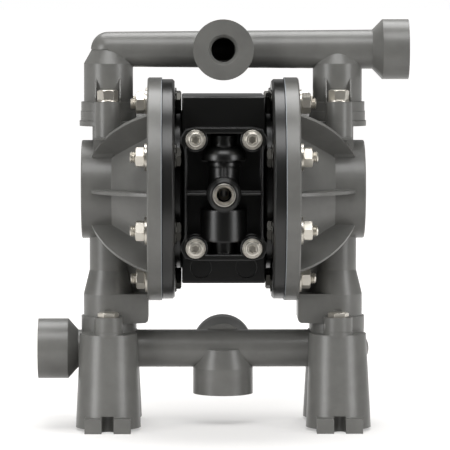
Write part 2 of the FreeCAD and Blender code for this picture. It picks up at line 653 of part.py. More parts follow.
# Connecting rod with its bushings and seals
shaft = body("connecting_rod", AXIS)
rod(shaft, ("-rod_half", "0", "0"), "right", "rod_radius", "2 * rod_half")
end = rod(shaft, ("rod_half - screw_deep", "0", "0"), "right", "screw_radius", "screw_deep", cut=True)
mirror(shaft, [end], "YZ_Plane")
bushings = body("rod_bushings", AXIS)
tube = revolve(bushings, outline(bushings, "XZ_Plane", [
    ("bushing_start", "rod_radius + rod_run"),
    ("body_half", "rod_radius + rod_run"),
    ("body_half", "bushing_radius"),
    ("bushing_start", "bushing_radius")]))
mirror(bushings, [tube], "YZ_Plane")
seals = body("rod_seals", AXIS)
lip = revolve(seals, outline(seals, "XZ_Plane", [
    ("hub_face", "rod_radius + rod_run"),
    ("hub_face + seal_wide", "rod_radius + rod_run"),
    ("hub_face + seal_wide", "groove_radius"),
    ("hub_face", "groove_radius")]))
mirror(seals, [lip], "YZ_Plane")

# Pilot valve below the rod: sleeve, spool and the two pins that the plates push
PILOT = ("0", "0", "axis_height - pilot_low")
sleeve = body("pilot_sleeve", PILOT)
rod(sleeve, ("-body_half", "0", "0"), "right", "pilot_sleeve_radius", "2 * body_half")
rod(sleeve, ("-body_half", "0", "0"), "right", "pilot_radius + pilot_run", "2 * body_half", cut=True)
spool = body("pilot_spool", PILOT)
half = revolve(spool, outline(spool, "XZ_Plane", [
    ("0", "0"),
    ("pilot_half", "0"),
    ("pilot_half", "pilot_radius"),
    ("pilot_half - 6", "pilot_radius"),
    ("pilot_half - 6", "pilot_radius - 1.5"),
    ("pilot_half - 14", "pilot_radius - 1.5"),
    ("pilot_half - 14", "pilot_radius"),
    ("0", "pilot_radius")]))
mirror(spool, [half], "YZ_Plane")
pins = body("pilot_pins", PILOT)
pin = rod(pins, ("pilot_half", "0", "0"), "right", "pin_radius", "pin_end - pilot_half")
mirror(pins, [pin], "YZ_Plane")

# Valve block in front of the centre body
valve = body("valve_block", AXIS)
back = "-body_depth - gasket_thick"
corner = [("block_half", "bulge_low"), ("bulge_reach", "screw_z - 2"), ("bulge_reach", "screw_z + 1"),
          ("block_half - 0.6", "block_high - block_drop"), ("block_half - 9", "block_high")]
around = corner + [("-(%s)" % x, z) for x, z in reversed(corner)]
around += [("-(%s)" % x, "-(%s)" % z) for x, z in corner] + [(x, "-(%s)" % z) for x, z in reversed(corner)]
slab = extrude(valve, outline(valve, "XZ_Plane", around, "body_depth + gasket_thick"),
               "-block_front - body_depth - gasket_thick")
# Cored front between the walls
block(valve, ("-wall_x", "block_front - 1", "4.2 - block_high"), ("wall_x", "block_floor", "block_high - 4.2"), cut=True)
for level in ("screw_z", "-screw_z"):
    post = rod(valve, ("screw_x", "block_floor + 1", level), "front", "8.4", "block_floor + 1 - boss_face")
    mirror(valve, [post], "YZ_Plane")
# Column that holds the main spool: bands, bell and cylinder, turned about the spool axis
revolve(valve, outline(valve, "YZ_Plane", [
    ("column_y", "bell_low"),
    ("column_y", "bell_high"),
    ("column_y - collet_radius - 0.6", "bell_high", "bell_round"),
    ("column_y - bell_radius", "bell_low + 3"),
    ("column_y - bell_radius - 0.2", "bell_low")]), "")
for low, high, radius in (
        ("bell_high - 1", "block_high - 5.8", "collet_radius"),
        ("bell_low - 4.4", "bell_low - 1", "throttle_radius"),
        ("drum_high - 1", "bell_low + 1", "throttle_radius - 0.7"),
        ("drum_low", "drum_high", "drum_wide"),
        ("4.2 - block_high", "drum_low + 1", "collet_radius")):
    rod(valve, ("0", "column_y", low), "up", radius, "%s - (%s)" % (high, low))
block(valve, ("-wall_x - 0.5", "block_front + 4", "-0.8"), ("wall_x + 0.5", "block_floor + 0.5", "0.8"))
block(valve, ("-0.9", "column_y - 11.2", "11"), ("0.9", "column_y", "24"))
rod(valve, ("0", "column_y", "0"), "front", "inlet_boss", "column_y - insert_face - 5")
taper(valve, ("0", "insert_face + 5", "0"), "front", "inlet_boss", "insert_radius + 1.4", "2.6")
# Flat back on the gasket
block(valve, ("-bulge_reach - 1", back, "-block_high - 1"), ("bulge_reach + 1", "0", "block_high + 1"), cut=True)
# Bores: main spool from below, air inlet from the "front", screws and ports to the centre body
rod(valve, ("0", "column_y", "-block_high - 1"), "up", "sleeve_radius", "block_high + 1 + sleeve_half", cut=True)
rod(valve, ("0", "column_y - sleeve_radius + 1", "0"), "front", "air_bore", "40", cut=True)
rod(valve, ("0", "insert_face + insert_long", "0"), "front", "insert_radius", "insert_long + 4", cut=True)
for level in ("screw_z", "-screw_z"):
    hole = rod(valve, ("screw_x", "-body_depth + 1", level), "front", "block_screw + 0.3", "40", cut=True)
    seat = rod(valve, ("screw_x", "boss_face", level), "front", "screw_flange + 0.3", "4", cut=True)
    mirror(valve, [hole, seat], "YZ_Plane")
port = rod(valve, ("0", "column_y", "14"), "rear", "3.5", "12", cut=True)
mirror(valve, [port], "XY_Plane")

seal = body("valve_block_gasket", AXIS)
extrude(seal, outline(seal, "XZ_Plane", [
    ("block_half - 0.5", "block_drop + 1 - block_high"),
    ("block_half - 0.5", "block_high - block_drop - 1"),
    ("0.5 - block_half", "block_high - block_drop - 1"),
    ("0.5 - block_half", "block_drop + 1 - block_high")], "body_depth"), "gasket_thick")
for level in ("screw_z", "-screw_z"):
    hole = rod(seal, ("screw_x", "-body_depth + 1", level), "front", "block_screw + 0.3", "4", cut=True)
    mirror(seal, [hole], "YZ_Plane")
port = rod(seal, ("0", "-body_depth + 1", "14"), "front", "3.5", "4", cut=True)
mirror(seal, [port], "XY_Plane")

screws = body("valve_block_screws", AXIS)
four(screws, [
    rod(screws, ("screw_x", "screw_into - body_depth", "screw_z"), "front", "block_screw",
        "screw_into - body_depth - boss_face + 1"),
    rod(screws, ("screw_x", "boss_face", "screw_z"), "front", "screw_flange", "1.8"),
    taper(screws, ("screw_x", "boss_face - 1", "screw_z"), "front", "5.3", "4.9", "5.4"),
    extrude(screws, hexagon(screws, "XZ_Plane", "screw_x", "screw_z", "5", "6.4 - boss_face - 2.6"), "3", cut=True)],
    "YZ_Plane", "XY_Plane")

insert = body("air_inlet_insert", AXIS)
revolve(insert, outline(insert, "XY_Plane", [
    ("insert_bore", "insert_face + 1"),
    ("insert_bore + 0.8", "insert_face"),
    ("insert_radius - 0.4", "insert_face"),
    ("insert_radius", "insert_face + 0.4"),
    ("insert_radius", "insert_face + insert_long"),
    ("insert_bore", "insert_face + insert_long")]), "Y_Axis")

SPOOL = ("0", "column_y", "axis_height")
sleeve = body("valve_sleeve", SPOOL)
rod(sleeve, ("0", "0", "-sleeve_half"), "up", "sleeve_radius", "2 * sleeve_half")
rod(sleeve, ("0", "0", "-sleeve_half"), "up", "spool_radius + spool_run", "2 * sleeve_half", cut=True)
for level in ("0", "14", "-14"):
    rod(sleeve, ("0", "-sleeve_radius - 1", level), "rear", "2.5", "2 * sleeve_radius + 2", cut=True)
spool = body("main_spool", SPOOL)
half = revolve(spool, outline(spool, "XZ_Plane", [
    ("0", "0"),
    ("spool_radius - 1.6", "0"),
    ("spool_radius - 1.6", "4"),
    ("spool_radius", "4"),
    ("spool_radius", "10"),
    ("spool_radius - 1.6", "10"),
    ("spool_radius - 1.6", "18"),
    ("spool_radius", "18"),
    ("spool_radius", "spool_half - 1"),
    ("spool_radius - 1", "spool_half"),
    ("0", "spool_half")]), "Z_Axis")
mirror(spool, [half], "XY_Plane")
plug = body("spool_plug", SPOOL)
rod(plug, ("0", "0", "-block_high"), "up", "sleeve_radius - 0.02", "block_high - sleeve_half")

# Outlet manifold: tube with a rounded elbow on the left and a tee on the right
top = body("outlet_manifold", ("0", "0", "0"))
taper(top, ("-column_x", "0", "upper_tube"), "right", "elbow_radius", "tube_radius",
      "column_x + port_reach - port_long - cone_long")
revolve(top, outline(top, "XZ_Plane", [
    ("-column_x", "upper_tube"),
    ("-column_x", "upper_tube + elbow_radius", "elbow_radius"),
    ("-column_x - elbow_radius", "upper_tube")]), "")
taper(top, ("port_reach - port_long - cone_long", "0", "upper_tube"), "right", "tube_radius", "port_radius",
      "cone_long")
rod(top, ("port_reach - port_long", "0", "upper_tube"), "right", "port_radius", "port_long")
taper(top, ("0", "0", "upper_tube"), "front", "leg_radius", "port_radius", "side_reach - port_long")
rod(top, ("0", "port_long - side_reach", "upper_tube"), "front", "port_radius", "port_long")
legs = [
    rod(top, ("column_x", "0", "upper_joint"), "up", "collar_radius", "collar_top - upper_joint"),
    rod(top, ("column_x", "0", "upper_joint"), "up", "collar_radius + 0.4", "collar_step"),
    rod(top, ("column_x", "0", "collar_top - 1"), "up", "leg_radius", "leg_top - collar_top + 1"),
    taper(top, ("column_x", "0", "leg_top"), "up", "leg_radius", "leg_end", "upper_tube - leg_top")]
mirror(top, legs, "YZ_Plane")
four(top, [
    rod(top, ("column_x", "upper_bolt_y", "upper_joint"), "up", "boss_radius", "upper_seat_z - upper_joint"),
    rod(top, ("column_x", "upper_bolt_y", "upper_joint - 1"), "up", "bolt_hole", "20", cut=True)])
cheek = [("leg_radius - 5", "collar_top - 1"), ("upper_bolt_y - 1", "collar_top - 1"),
         ("upper_bolt_y - 1", "upper_seat_z + 3"), ("leg_radius - 3.5", "upper_seat_z + cheek_high")]
four(top, [
    extrude(top, outline(top, "YZ_Plane", cheek, "column_x + cheek_x"), "cheek_thick"),
    extrude(top, outline(top, "YZ_Plane", cheek, "column_x - cheek_x - cheek_thick"), "cheek_thick")])
rod(top, ("-column_x", "0", "upper_tube"), "right", "bore_radius", "port_reach + column_x", cut=True)
rod(top, ("port_reach - port_deep", "0", "upper_tube"), "right", "port_bore", "port_deep", cut=True)
taper(top, ("port_reach - port_bevel", "0", "upper_tube"), "right", "port_bore", "port_sink", "port_bevel", cut=True)
rod(top, ("0", "0", "upper_tube"), "front", "leg_bore", "side_reach", cut=True)
rod(top, ("0", "port_deep - side_reach", "upper_tube"), "front", "port_bore", "port_deep", cut=True)
taper(top, ("0", "port_bevel - side_reach", "upper_tube"), "front", "port_bore", "port_sink", "port_bevel", cut=True)
mirror(top, [
    rod(top, ("column_x", "0", "upper_joint"), "up", "leg_bore", "upper_tube - upper_joint", cut=True),
    rod(top, ("column_x", "0", "upper_joint - 1"), "up", "cage_radius", "cage_high", cut=True),
    rod(top, ("column_x", "0", "upper_joint - 1"), "up", "ring_radius + ring_thick + 0.1", "2 * ring_thick + 1", cut=True)],
    "YZ_Plane")
four(top, [block(top, ("column_x - stop_thick / 2", "stop_in", "upper_joint + " + STOP),
                 ("column_x + stop_thick / 2", "cage_radius + 1", "upper_joint + cage_high + 5"))])

# Inlet manifold: tube closed on the "right", end port on the "left", down and rear ports, four feet
base = body("inlet_manifold", ("0", "0", "0"))
rod(base, ("-port_reach + port_long", "0", "lower_tube"), "right", "inlet_radius",
    "port_reach - port_long + closed_end")
revolve(base, outline(base, "XZ_Plane", [
    ("closed_end", "lower_tube"),
    ("closed_end + inlet_radius", "lower_tube", "inlet_radius"),
    ("closed_end", "lower_tube + inlet_radius")]), "")
taper(base, ("-port_reach + inlet_long + cone_long", "0", "lower_tube"), "left", "inlet_radius", "port_radius",
      "cone_long")
rod(base, ("-port_reach + inlet_long", "0", "lower_tube"), "left", "port_radius", "inlet_long")
for way, at in (
        ("down", ("0", "0", "lower_tube - side_reach + port_long")),
        ("rear", ("0", "side_reach - port_long", "lower_tube"))):
    taper(base, ("0", "0", "lower_tube"), way, "leg_radius", "port_radius", "side_reach - port_long")
    rod(base, at, way, "port_radius", "port_long")
mirror(base, [rod(base, ("column_x", "0", "lower_tube - 6"), "up", "collar_radius", "lower_joint - lower_tube + 6")], "YZ_Plane")
shell = loft(base, disc(base, "XY_Plane", "column_x", "-foot_y", "foot_radius", "skirt_z"),
             disc(base, "XY_Plane", "column_x", "-foot_top_y", "foot_top_radius", "foot_top"))
four(base, [
    shell,
    rod(base, ("column_x", "-lower_bolt_y", "foot_top - 16"), "up", "ear_wide + 0.4", "lower_joint - foot_top + 16")])
hollow = loft(base, disc(base, "XY_Plane", "column_x", "-foot_y", "foot_radius - foot_wall", "skirt_z - 1"),
              disc(base, "XY_Plane", "column_x", "-foot_top_y", "foot_top_radius - foot_wall", "hollow_top"), cut=True)
four(base, [
    hollow,
    block(base, ("column_x - slot_half - pad_wide", "-pad_front", "0"),
          ("column_x + slot_half + pad_wide", "-pad_back", "pad_high")),
    block(base, ("column_x - slot_half", "-pad_front - 1", "-1"),
          ("column_x + slot_half", "-slot_y", "pad_high + 1"), cut=True),
    rod(base, ("column_x", "-slot_y", "-1"), "up", "slot_half", "pad_high + 2", cut=True),
    rod(base, ("column_x", "-lower_bolt_y", "lower_joint - 15"), "up", "bolt_hole", "16", cut=True)])
rod(base, ("-port_reach", "0", "lower_tube"), "right", "bore_radius", "port_reach + closed_end", cut=True)
for way, inner, outer in (
        ("left", ("port_deep - port_reach", "0", "lower_tube"), ("port_bevel - port_reach", "0", "lower_tube")),
        ("down", ("0", "0", "lower_tube - side_reach + port_deep"), ("0", "0", "lower_tube - side_reach + port_bevel")),
        ("rear", ("0", "side_reach - port_deep", "lower_tube"), ("0", "side_reach - port_bevel", "lower_tube"))):
    if way != "left":
        rod(base, ("0", "0", "lower_tube"), way, "leg_bore", "side_reach", cut=True)
    rod(base, inner, way, "port_bore", "port_deep", cut=True)
    taper(base, outer, way, "port_bore", "port_sink", "port_bevel", cut=True)
mirror(base, [
    rod(base, ("column_x", "0", "lower_tube"), "up", "seat_bore", "lower_joint - lower_tube", cut=True),
    rod(base, ("column_x", "0", "lower_joint - seat_high"), "up", "seat_radius + 0.1", "seat_high + 1", cut=True)],
    "YZ_Plane")

# Bolts of the four manifold joints
for level, long in (("upper", "24"), ("lower", "20")):
    bolts = body(level + "_bolts")
    across = level + "_bolt_y"
    seat = level + "_seat_z"
    four(bolts, [
        rod(bolts, ("column_x", across, seat + " + 1"), "down", "bolt_radius", long),
        taper(bolts, ("column_x", across, seat), "up", "flange_head", "flange_head - 0.6", "1.6"),
        extrude(bolts, hexagon(bolts, "XY_Plane", "column_x", across, "hex_flats", seat), "manifold_head")])

# Ball valves: seat, sealing ring and ball at each of the four joints
for level in ("upper", "lower"):
    joint = level + "_joint"
    rings = body(level + "_seat_rings", ("0", "0", joint))
    flat = bore(disc(rings, "XY_Plane", "column_x", "0", "ring_radius + ring_thick"),
                "column_x", "0", "ring_radius - ring_thick")
    mirror(rings, [extrude(rings, flat, "2 * ring_thick")], "YZ_Plane")
    for side, turn in sides():
        sign = "" if side == "right" else "-"
        seat = body("%s_seat_%s" % (level, side), (sign + "column_x", "0", joint))
        revolve(seat, outline(seat, "XZ_Plane", [
            ("seat_bore", "-seat_high"),
            ("seat_radius", "-seat_high"),
            ("seat_radius", "0"),
            ("seat_edge + seat_bevel", "0"),
            ("seat_edge", "-seat_bevel")]), "Z_Axis")
        sphere = body("%s_ball_%s" % (level, side), (sign + "column_x", "0", joint + " + " + REST))
        ball(sphere, ("0", "0", "0"), "ball_radius")

# Exhaust: nipple and slotted muffler behind the centre body
EXHAUST = ("0", "0", "exhaust_z")
nipple = body("exhaust_nipple", EXHAUST)
rod(nipple, ("0", "body_depth - 14", "0"), "rear", "nipple_radius", "muffler_start - body_depth + 18")
rod(nipple, ("0", "body_depth - 15", "0"), "rear", "nipple_radius - 2.6", "muffler_start - body_depth + 20", cut=True)
muffler = body("muffler", EXHAUST)
revolve(muffler, outline(muffler, "XY_Plane", [
    ("nipple_radius", "muffler_start"),
    ("muffler_radius - 3", "muffler_start"),
    ("muffler_radius", "muffler_start + 3"),
    ("muffler_radius", "muffler_end - 3"),
    ("muffler_radius - 3", "muffler_end"),
    ("0", "muffler_end"),
    ("0", "muffler_end - 3"),
    ("nipple_radius", "muffler_end - 3")]), "Y_Axis")
slit = block(muffler, ("nipple_radius - 1", "muffler_start + 8", "-1"), ("muffler_radius + 1", "muffler_end - 8", "1"), cut=True)
ring_of(muffler, [slit], "Y_Axis", "8")

bodies = [item for item in doc.Objects if item.TypeId == "PartDesign::Body"]
for item in bodies:
    item.Tip.Refine = True
doc.recompute()

# Every object has recomputed cleanly and every sub-part is a valid shape before anything is written
for item in doc.Objects:
    for word_of_state in item.State:
        if word_of_state in ("Invalid", "Error"):
            raise RuntimeError("failed: " + item.Label + ", " + item.getStatusString())
os.makedirs("parts", exist_ok=True)
for item in bodies:
    if item.Shape.isNull() or not item.Shape.isValid() or item.Shape.Volume <= 0:
        raise RuntimeError("bad shape: " + item.Label)
for item in bodies:
    item.Shape.exportStep("parts/" + item.Label + ".step")
    print("%-22s %2d solids %10.1f mm3" % (item.Label, len(item.Shape.Solids), item.Shape.Volume))
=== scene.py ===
"""Air operated diaphragm pump: finishes, fasteners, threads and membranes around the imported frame.

All lengths are in metres. A plain studio at the end shows the pump from the photograph's side.
"""

import json
import math

import bpy
import numpy as np
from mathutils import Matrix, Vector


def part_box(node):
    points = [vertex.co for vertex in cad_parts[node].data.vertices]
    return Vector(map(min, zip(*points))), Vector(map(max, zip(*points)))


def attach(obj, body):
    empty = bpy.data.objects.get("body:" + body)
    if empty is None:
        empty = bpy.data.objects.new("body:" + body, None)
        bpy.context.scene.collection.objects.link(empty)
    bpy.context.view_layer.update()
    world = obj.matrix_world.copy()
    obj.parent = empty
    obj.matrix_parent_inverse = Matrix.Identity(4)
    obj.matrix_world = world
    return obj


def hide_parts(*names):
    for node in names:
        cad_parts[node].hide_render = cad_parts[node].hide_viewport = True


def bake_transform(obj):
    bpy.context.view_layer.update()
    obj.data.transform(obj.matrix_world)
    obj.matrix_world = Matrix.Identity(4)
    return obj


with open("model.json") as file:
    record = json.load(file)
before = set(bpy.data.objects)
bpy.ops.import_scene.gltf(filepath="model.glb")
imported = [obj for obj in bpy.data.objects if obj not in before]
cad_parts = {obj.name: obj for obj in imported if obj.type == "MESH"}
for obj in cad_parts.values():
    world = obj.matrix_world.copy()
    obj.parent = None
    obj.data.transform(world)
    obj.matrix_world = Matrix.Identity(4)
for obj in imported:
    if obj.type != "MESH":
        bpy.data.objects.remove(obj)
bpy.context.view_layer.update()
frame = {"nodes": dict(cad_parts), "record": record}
nodes = frame["nodes"]

TURN = 2 * math.pi
POLE = 1e-5
HOUSING = "pump_housing"
SIDES = (("right", 1), ("left", -1))


def middle(node, axis):
    """The middle of a node's box along one axis, given as 0, 1 or 2."""
    low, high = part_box(node)
    return (low[axis] + high[axis]) / 2


# Main places, read from the frame: the rod's height and the upright columns' distance from the middle
AXIS_HEIGHT = middle("air_cap_right", 2)
COLUMN_X = middle("upper_ball_right", 0)

# Sizes of the fasteners, the place of the joint bolts in Y and the front of the valve block's lugs
BOLT_CIRCLE = 0.067
HEX_FLATS = 0.013
SHANK = 0.004
FLANGE_HIGH = 0.0016
CAP_HEAD = 0.0032
CAP_FLANGE = 0.0097
CAP_THREAD = 0.0075
JOINT_HEAD = 0.0068
JOINT_FLANGE = 0.0076
JOINT_THREAD = 0.012
JOINT_REACH = 0.0254
JOINT_SPIN = -0.11
SCREW_FLANGE = 0.0071
LUG_FACE = -0.0646


# Grids of points: arrays (rows, columns, 3) whose columns run once round

def angles(steps):
    """The angles t of one turn in even steps, from 0."""
    return np.arange(steps) / steps * TURN


def turned(profile, steps=96):
    """Rings about Z: x = r cos t, y = r sin t, z = h, for the angles t of one turn.

    Each row of the profile holds r, which is one number or one for each t, and h.
    """
    radii, heights = zip(*profile)
    t = angles(steps)
    r = np.stack([np.broadcast_to(radius, steps) for radius in radii])
    h = np.array(heights)[:, None]
    return np.stack([r * np.cos(t), r * np.sin(t), h + 0 * t], axis=-1)


def placed(grid, origin, axis, spin=0.0):
    """The grid turned so that its own Z runs along axis and moved to origin.

    A point (x, y, z) goes to origin + x a + y b + z axis, where a and b are square to the axis and
    turned about it by spin.
    """
    axis = np.array(axis, float) / np.linalg.norm(axis)
    side = np.array((0.0, 0.0, 1.0)) if abs(axis[2]) < 0.9 else np.array((1.0, 0.0, 0.0))
    first = np.cross(side, axis)
    first /= np.linalg.norm(first)
    second = np.cross(axis, first)
    a = first * math.cos(spin) + second * math.sin(spin)
    b = np.cross(axis, a)
    return np.array(origin, float) + grid[..., :1] * a + grid[..., 1:2] * b + grid[..., 2:] * axis


# Pieces

def surface(name, grids, material, looped=False):
    """One mesh of the grids, in which quads join neighbouring rows and columns.

    The columns close to a ring, and where it is looped the rows do too.
    """
    points, quads, start = [], [], 0
    for grid in grids:
        rows, columns = grid.shape[:2]
        index = start + np.arange(rows * columns).reshape(rows, columns)
        index = np.hstack([index, index[:, :1]])
        if looped:
            index = np.vstack([index, index[:1]])
        faces = np.stack([index[:-1, :-1], index[:-1, 1:], index[1:, 1:], index[1:, :-1]], axis=-1)
        points.append(grid.reshape(-1, 3))
        quads.append(faces.reshape(-1, 4))
        start += rows * columns
    mesh = bpy.data.meshes.new(name)
    mesh.from_pydata(np.vstack(points).tolist(), [], np.vstack(quads).tolist())
    mesh.validate()
    mesh.shade_smooth()
    mesh.materials.append(material)
    piece = bpy.data.objects.new(name, mesh)
    bpy.context.scene.collection.objects.link(piece)
    return piece


def crisp(piece, angle=32):
    """Keeps the edges of a smooth shaded piece sharp where its faces meet at more than the angle."""
    split = piece.modifiers.new("edges", "EDGE_SPLIT")
    split.split_angle = math.radians(angle)
    split.use_edge_sharp = False


def fixed(name, grids, material, stands_for=None, looped=False, sharp=True):
    """A piece that rides on the housing; the node that it stands for, if any, is hidden."""
    piece = surface(name, grids, material, looped)
    if sharp:
        crisp(piece)
    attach(piece, HOUSING)
    if stands_for:
        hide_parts(stands_for)


# Finishes

def fill(tree, node, inputs):
    """Sets each named input of a shader node to a value, or joins it to another node's output."""
    for name, value in inputs.items():
        if isinstance(value, bpy.types.NodeSocket):
            tree.links.new(value, node.inputs[name])
        else:
            node.inputs[name].default_value = value


def added(tree, kind, inputs):
    """A new shader node of a kind with its inputs filled."""
    node = tree.nodes.new(kind)
    fill(tree, node, inputs)
    return node


def combined(tree, operation, first, second):
    """The result of one sum on two outputs or numbers."""
    node = added(tree, "ShaderNodeMath", {0: first, 1: second})
    node.operation = operation
    return node.outputs["Value"]


def spread(tree, value, low, high, start=0.0, end=1.0):
    """A value that runs from start to end while the input runs from low to high."""
    limits = {"From Min": low, "From Max": high, "To Min": start, "To Max": end}
    return added(tree, "ShaderNodeMapRange", {"Value": value, **limits}).outputs["Result"]


def ramp(tree, value, first, last, ends=(0.0, 1.0)):
    """A colour that runs from first to last while the value runs between the two ends."""
    node = added(tree, "ShaderNodeValToRGB", {"Fac": value})
    for element, at, colour in zip(node.color_ramp.elements, ends, (first, last)):
        element.position = at
        element.color = (*colour, 1)
    return node.outputs["Color"]


def finish(name, colour, rough, metal=0.0, mottle=0.1, grain=900, depth=0.05, edge=0.0004,
           stretch=(1, 1, 1)):
    """A finish whose colour and roughness vary softly over the part, with fine bumps and eased edges.

    Object coordinates drive two noises. The broad one sways the colour by the share mottle, and the
    fine one the roughness and the bumps. stretch draws the fine one out as brushing and turning marks.
    """
    material = bpy.data.materials.new(name)
    material.use_nodes = True
    tree = material.node_tree
    place = added(tree, "ShaderNodeTexCoord", {}).outputs["Object"]
    drawn = added(tree, "ShaderNodeMapping", {"Vector": place, "Scale": stretch}).outputs["Vector"]
    broad = added(tree, "ShaderNodeTexNoise", {"Vector": place, "Scale": 55, "Detail": 5, "Roughness": 0.6})
    fine = added(tree, "ShaderNodeTexNoise", {"Vector": drawn, "Scale": grain, "Detail": 3})
    eased = added(tree, "ShaderNodeBevel", {"Radius": edge})
    eased.samples = 6
    bump = added(tree, "ShaderNodeBump", {"Strength": depth, "Distance": 0.0002,
                                          "Height": fine.outputs["Fac"], "Normal": eased.outputs["Normal"]})
    dark = [channel * (1 - mottle) for channel in colour]
    light = [channel * (1 + mottle) for channel in colour]
    fill(tree, tree.nodes["Principled BSDF"], {
        "Base Color": ramp(tree, broad.outputs["Fac"], dark, light, (0.3, 0.7)),
        "Metallic": metal,
        "Roughness": spread(tree, fine.outputs["Fac"], 0.0, 1.0, rough * 0.85, rough * 1.15),
        "Normal": bump.outputs["Normal"]})
    return material


moulded_grey = finish("moulded_grey", (0.135, 0.134, 0.126), 0.34, mottle=0.12, grain=1400, depth=0.10)
satin_black = finish("satin_black", (0.011, 0.011, 0.0105), 0.3, mottle=0.15, grain=1200, depth=0.03,
                     edge=0.0006)
body_black = finish("body_black", (0.003, 0.003, 0.0027), 0.34, mottle=0.2, grain=1200, depth=0.03)
block_black = finish("block_black", (0.003, 0.003, 0.0028), 0.32, mottle=0.2, grain=1200, depth=0.03,
                     edge=0.0018)
# Painted highlight: a pale bluish grey for the light line on the grey flange's eased edge next to the black
# cap
painted_highlight_edge = finish("painted_highlight_edge", (0.26, 0.28, 0.30), 0.4)
# Painted shade: a near-black metal for the stainless cap bolts' heads, standing for the shade they sit in
# between the black body and the black caps
painted_shade_steel = finish("painted_shade_steel", (0.035, 0.034, 0.031), 0.25, metal=1.0, grain=500, depth=0.03, edge=0.0002)
stainless = finish("stainless", (0.60, 0.57, 0.51), 0.32, metal=0.85, mottle=0.08, grain=500, depth=0.03,
                   edge=0.0002)
turned_steel = finish("turned_steel", (0.62, 0.59, 0.54), 0.3, metal=1.0, mottle=0.08, grain=300, depth=0.08,
                      edge=0.0002, stretch=(0.2, 6, 0.2))
ground_steel = finish("ground_steel", (0.6, 0.59, 0.57), 0.2, metal=1.0, mottle=0.05, grain=300,
                      edge=0.0002, stretch=(8, 0.3, 0.3))
cast_aluminium = finish("cast_aluminium", (0.55, 0.56, 0.57), 0.4, metal=1.0, mottle=0.08, grain=700,
                        depth=0.1)
elastomer = finish("elastomer", (0.022, 0.022, 0.021), 0.62, mottle=0.2, grain=1500, depth=0.2)
seat_plastic = finish("seat_plastic", (0.5, 0.5, 0.47), 0.45, mottle=0.06, grain=1200, depth=0.08)
bearing_plastic = finish("bearing_plastic", (0.62, 0.6, 0.54), 0.4, mottle=0.06, grain=600, depth=0.08)
porous_black = finish("porous_black", (0.03, 0.03, 0.03), 0.7, mottle=0.3, grain=700, depth=0.5)

FINISHES = {
    "grey_casting": moulded_grey, "black_cap": satin_black, "black_body": body_black, "stainless": stainless,
    "inlet_metal": turned_steel, "elastomer": elastomer, "plate_metal": cast_aluminium,
    "seat_plastic": seat_plastic, "bearing_plastic": bearing_plastic, "exhaust_plastic": porous_black}


def dress(node, material):
    """Gives a node of the frame one material."""
    nodes[node].data.materials.clear()
    nodes[node].data.materials.append(material)


for part in frame["record"]["subparts"]:
    dress(part["node"], FINISHES[part["material_slot"]])
dress("connecting_rod", ground_steel)
dress("valve_block", block_black)


# Fasteners: eight bolts and nuts round each chamber, two bolts in each joint, four valve screws

def hexagon(flats, steps):
    """A hexagon's radius at the angles t of one turn: flats / 2 / cos(t - nearest flat)."""
    nearest = (angles(steps) + TURN / 12) % (TURN / 6) - TURN / 12
    return flats / 2 / np.cos(nearest)


def chamfered(face, rows, steps):
    """The chamfered corners of a hexagon of HEX_FLATS, as rows (radius, depth below its round face):
    radius = min(hexagon, face + depth / tan 30), down to where the corners are whole.
    """
    fall = math.tan(math.radians(30))
    corner = (HEX_FLATS / 2 / math.cos(TURN / 12) - face) * fall
    depths = np.linspace(0, corner, rows)
    return [(np.minimum(hexagon(HEX_FLATS, steps), face + depth / fall), depth) for depth in depths]


def nut(high, steps=96):
    """A nut up from 0: a hexagon chamfered at both faces, and a round hole with eased edges."""
    hole = 0.0041
    ease = 0.0005
    corners = chamfered(HEX_FLATS / 2 * 0.955, 6, steps)
    profile = [(hole, ease), (hole + ease, 0.0)]
    profile += corners
    profile += [(radius, high - depth) for radius, depth in reversed(corners)]
    profile += [(hole + ease, high), (hole, high - ease)]
    return turned(profile, steps)


def flanged_head(head, flange, steps=72):
    """A bolt's head below 0, where its flange is seated: rings run from the middle of the flat top
    over the chamfered hexagon and the rounded flange to the middle of the seat, which is closed and
    stays a little clear of the face under it.
    """
    top = -FLANGE_HIGH - head
    seat = -0.0002
    face = HEX_FLATS / 2 * 0.95
    profile = [(POLE, top), (face * 0.6, top)]
    profile += [(radius, top + depth) for radius, depth in chamfered(face, 7, steps)]
    profile += [(np.minimum(hexagon(HEX_FLATS, steps), flange), -FLANGE_HIGH * 0.95),
                (flange * 0.965, -FLANGE_HIGH * 0.8), (flange, -FLANGE_HIGH * 0.45),
                (flange, seat), (POLE, seat)]
    return turned(profile, steps)


def threaded_shank(length, threaded, steps=72):
    """A bolt's shank up from 0: a plain length, then a thread, and a chamfered end.

    In the thread r = SHANK - deep c, where c rises and falls once in each pitch of height, less the
    share of a turn that the angle has gone: c = 1.15 - 2.6 |phase - half|, clipped to 0 and 1, and
    eased in over the first pitch.
    """
    pitch = 0.00125
    deep = 0.00062
    chamfer = 0.0009
    tip = 0.0006
    z = np.linspace(length - threaded, length - tip, int(threaded / pitch * 8) + 1)
    phase = (z[:, None] / pitch - angles(steps) / TURN) % 1.0
    cut = np.clip(1.15 - np.abs(phase - 0.5) * 2.6, 0, 1) * np.clip((z - z[0]) / pitch, 0, 1)[:, None]
    profile = [(POLE, 0.0), (SHANK, 0.0), (SHANK, length - threaded)]
    profile += zip(SHANK - deep * cut, z)
    profile += [(SHANK - chamfer, length), (POLE, length)]
    return turned(profile, steps)


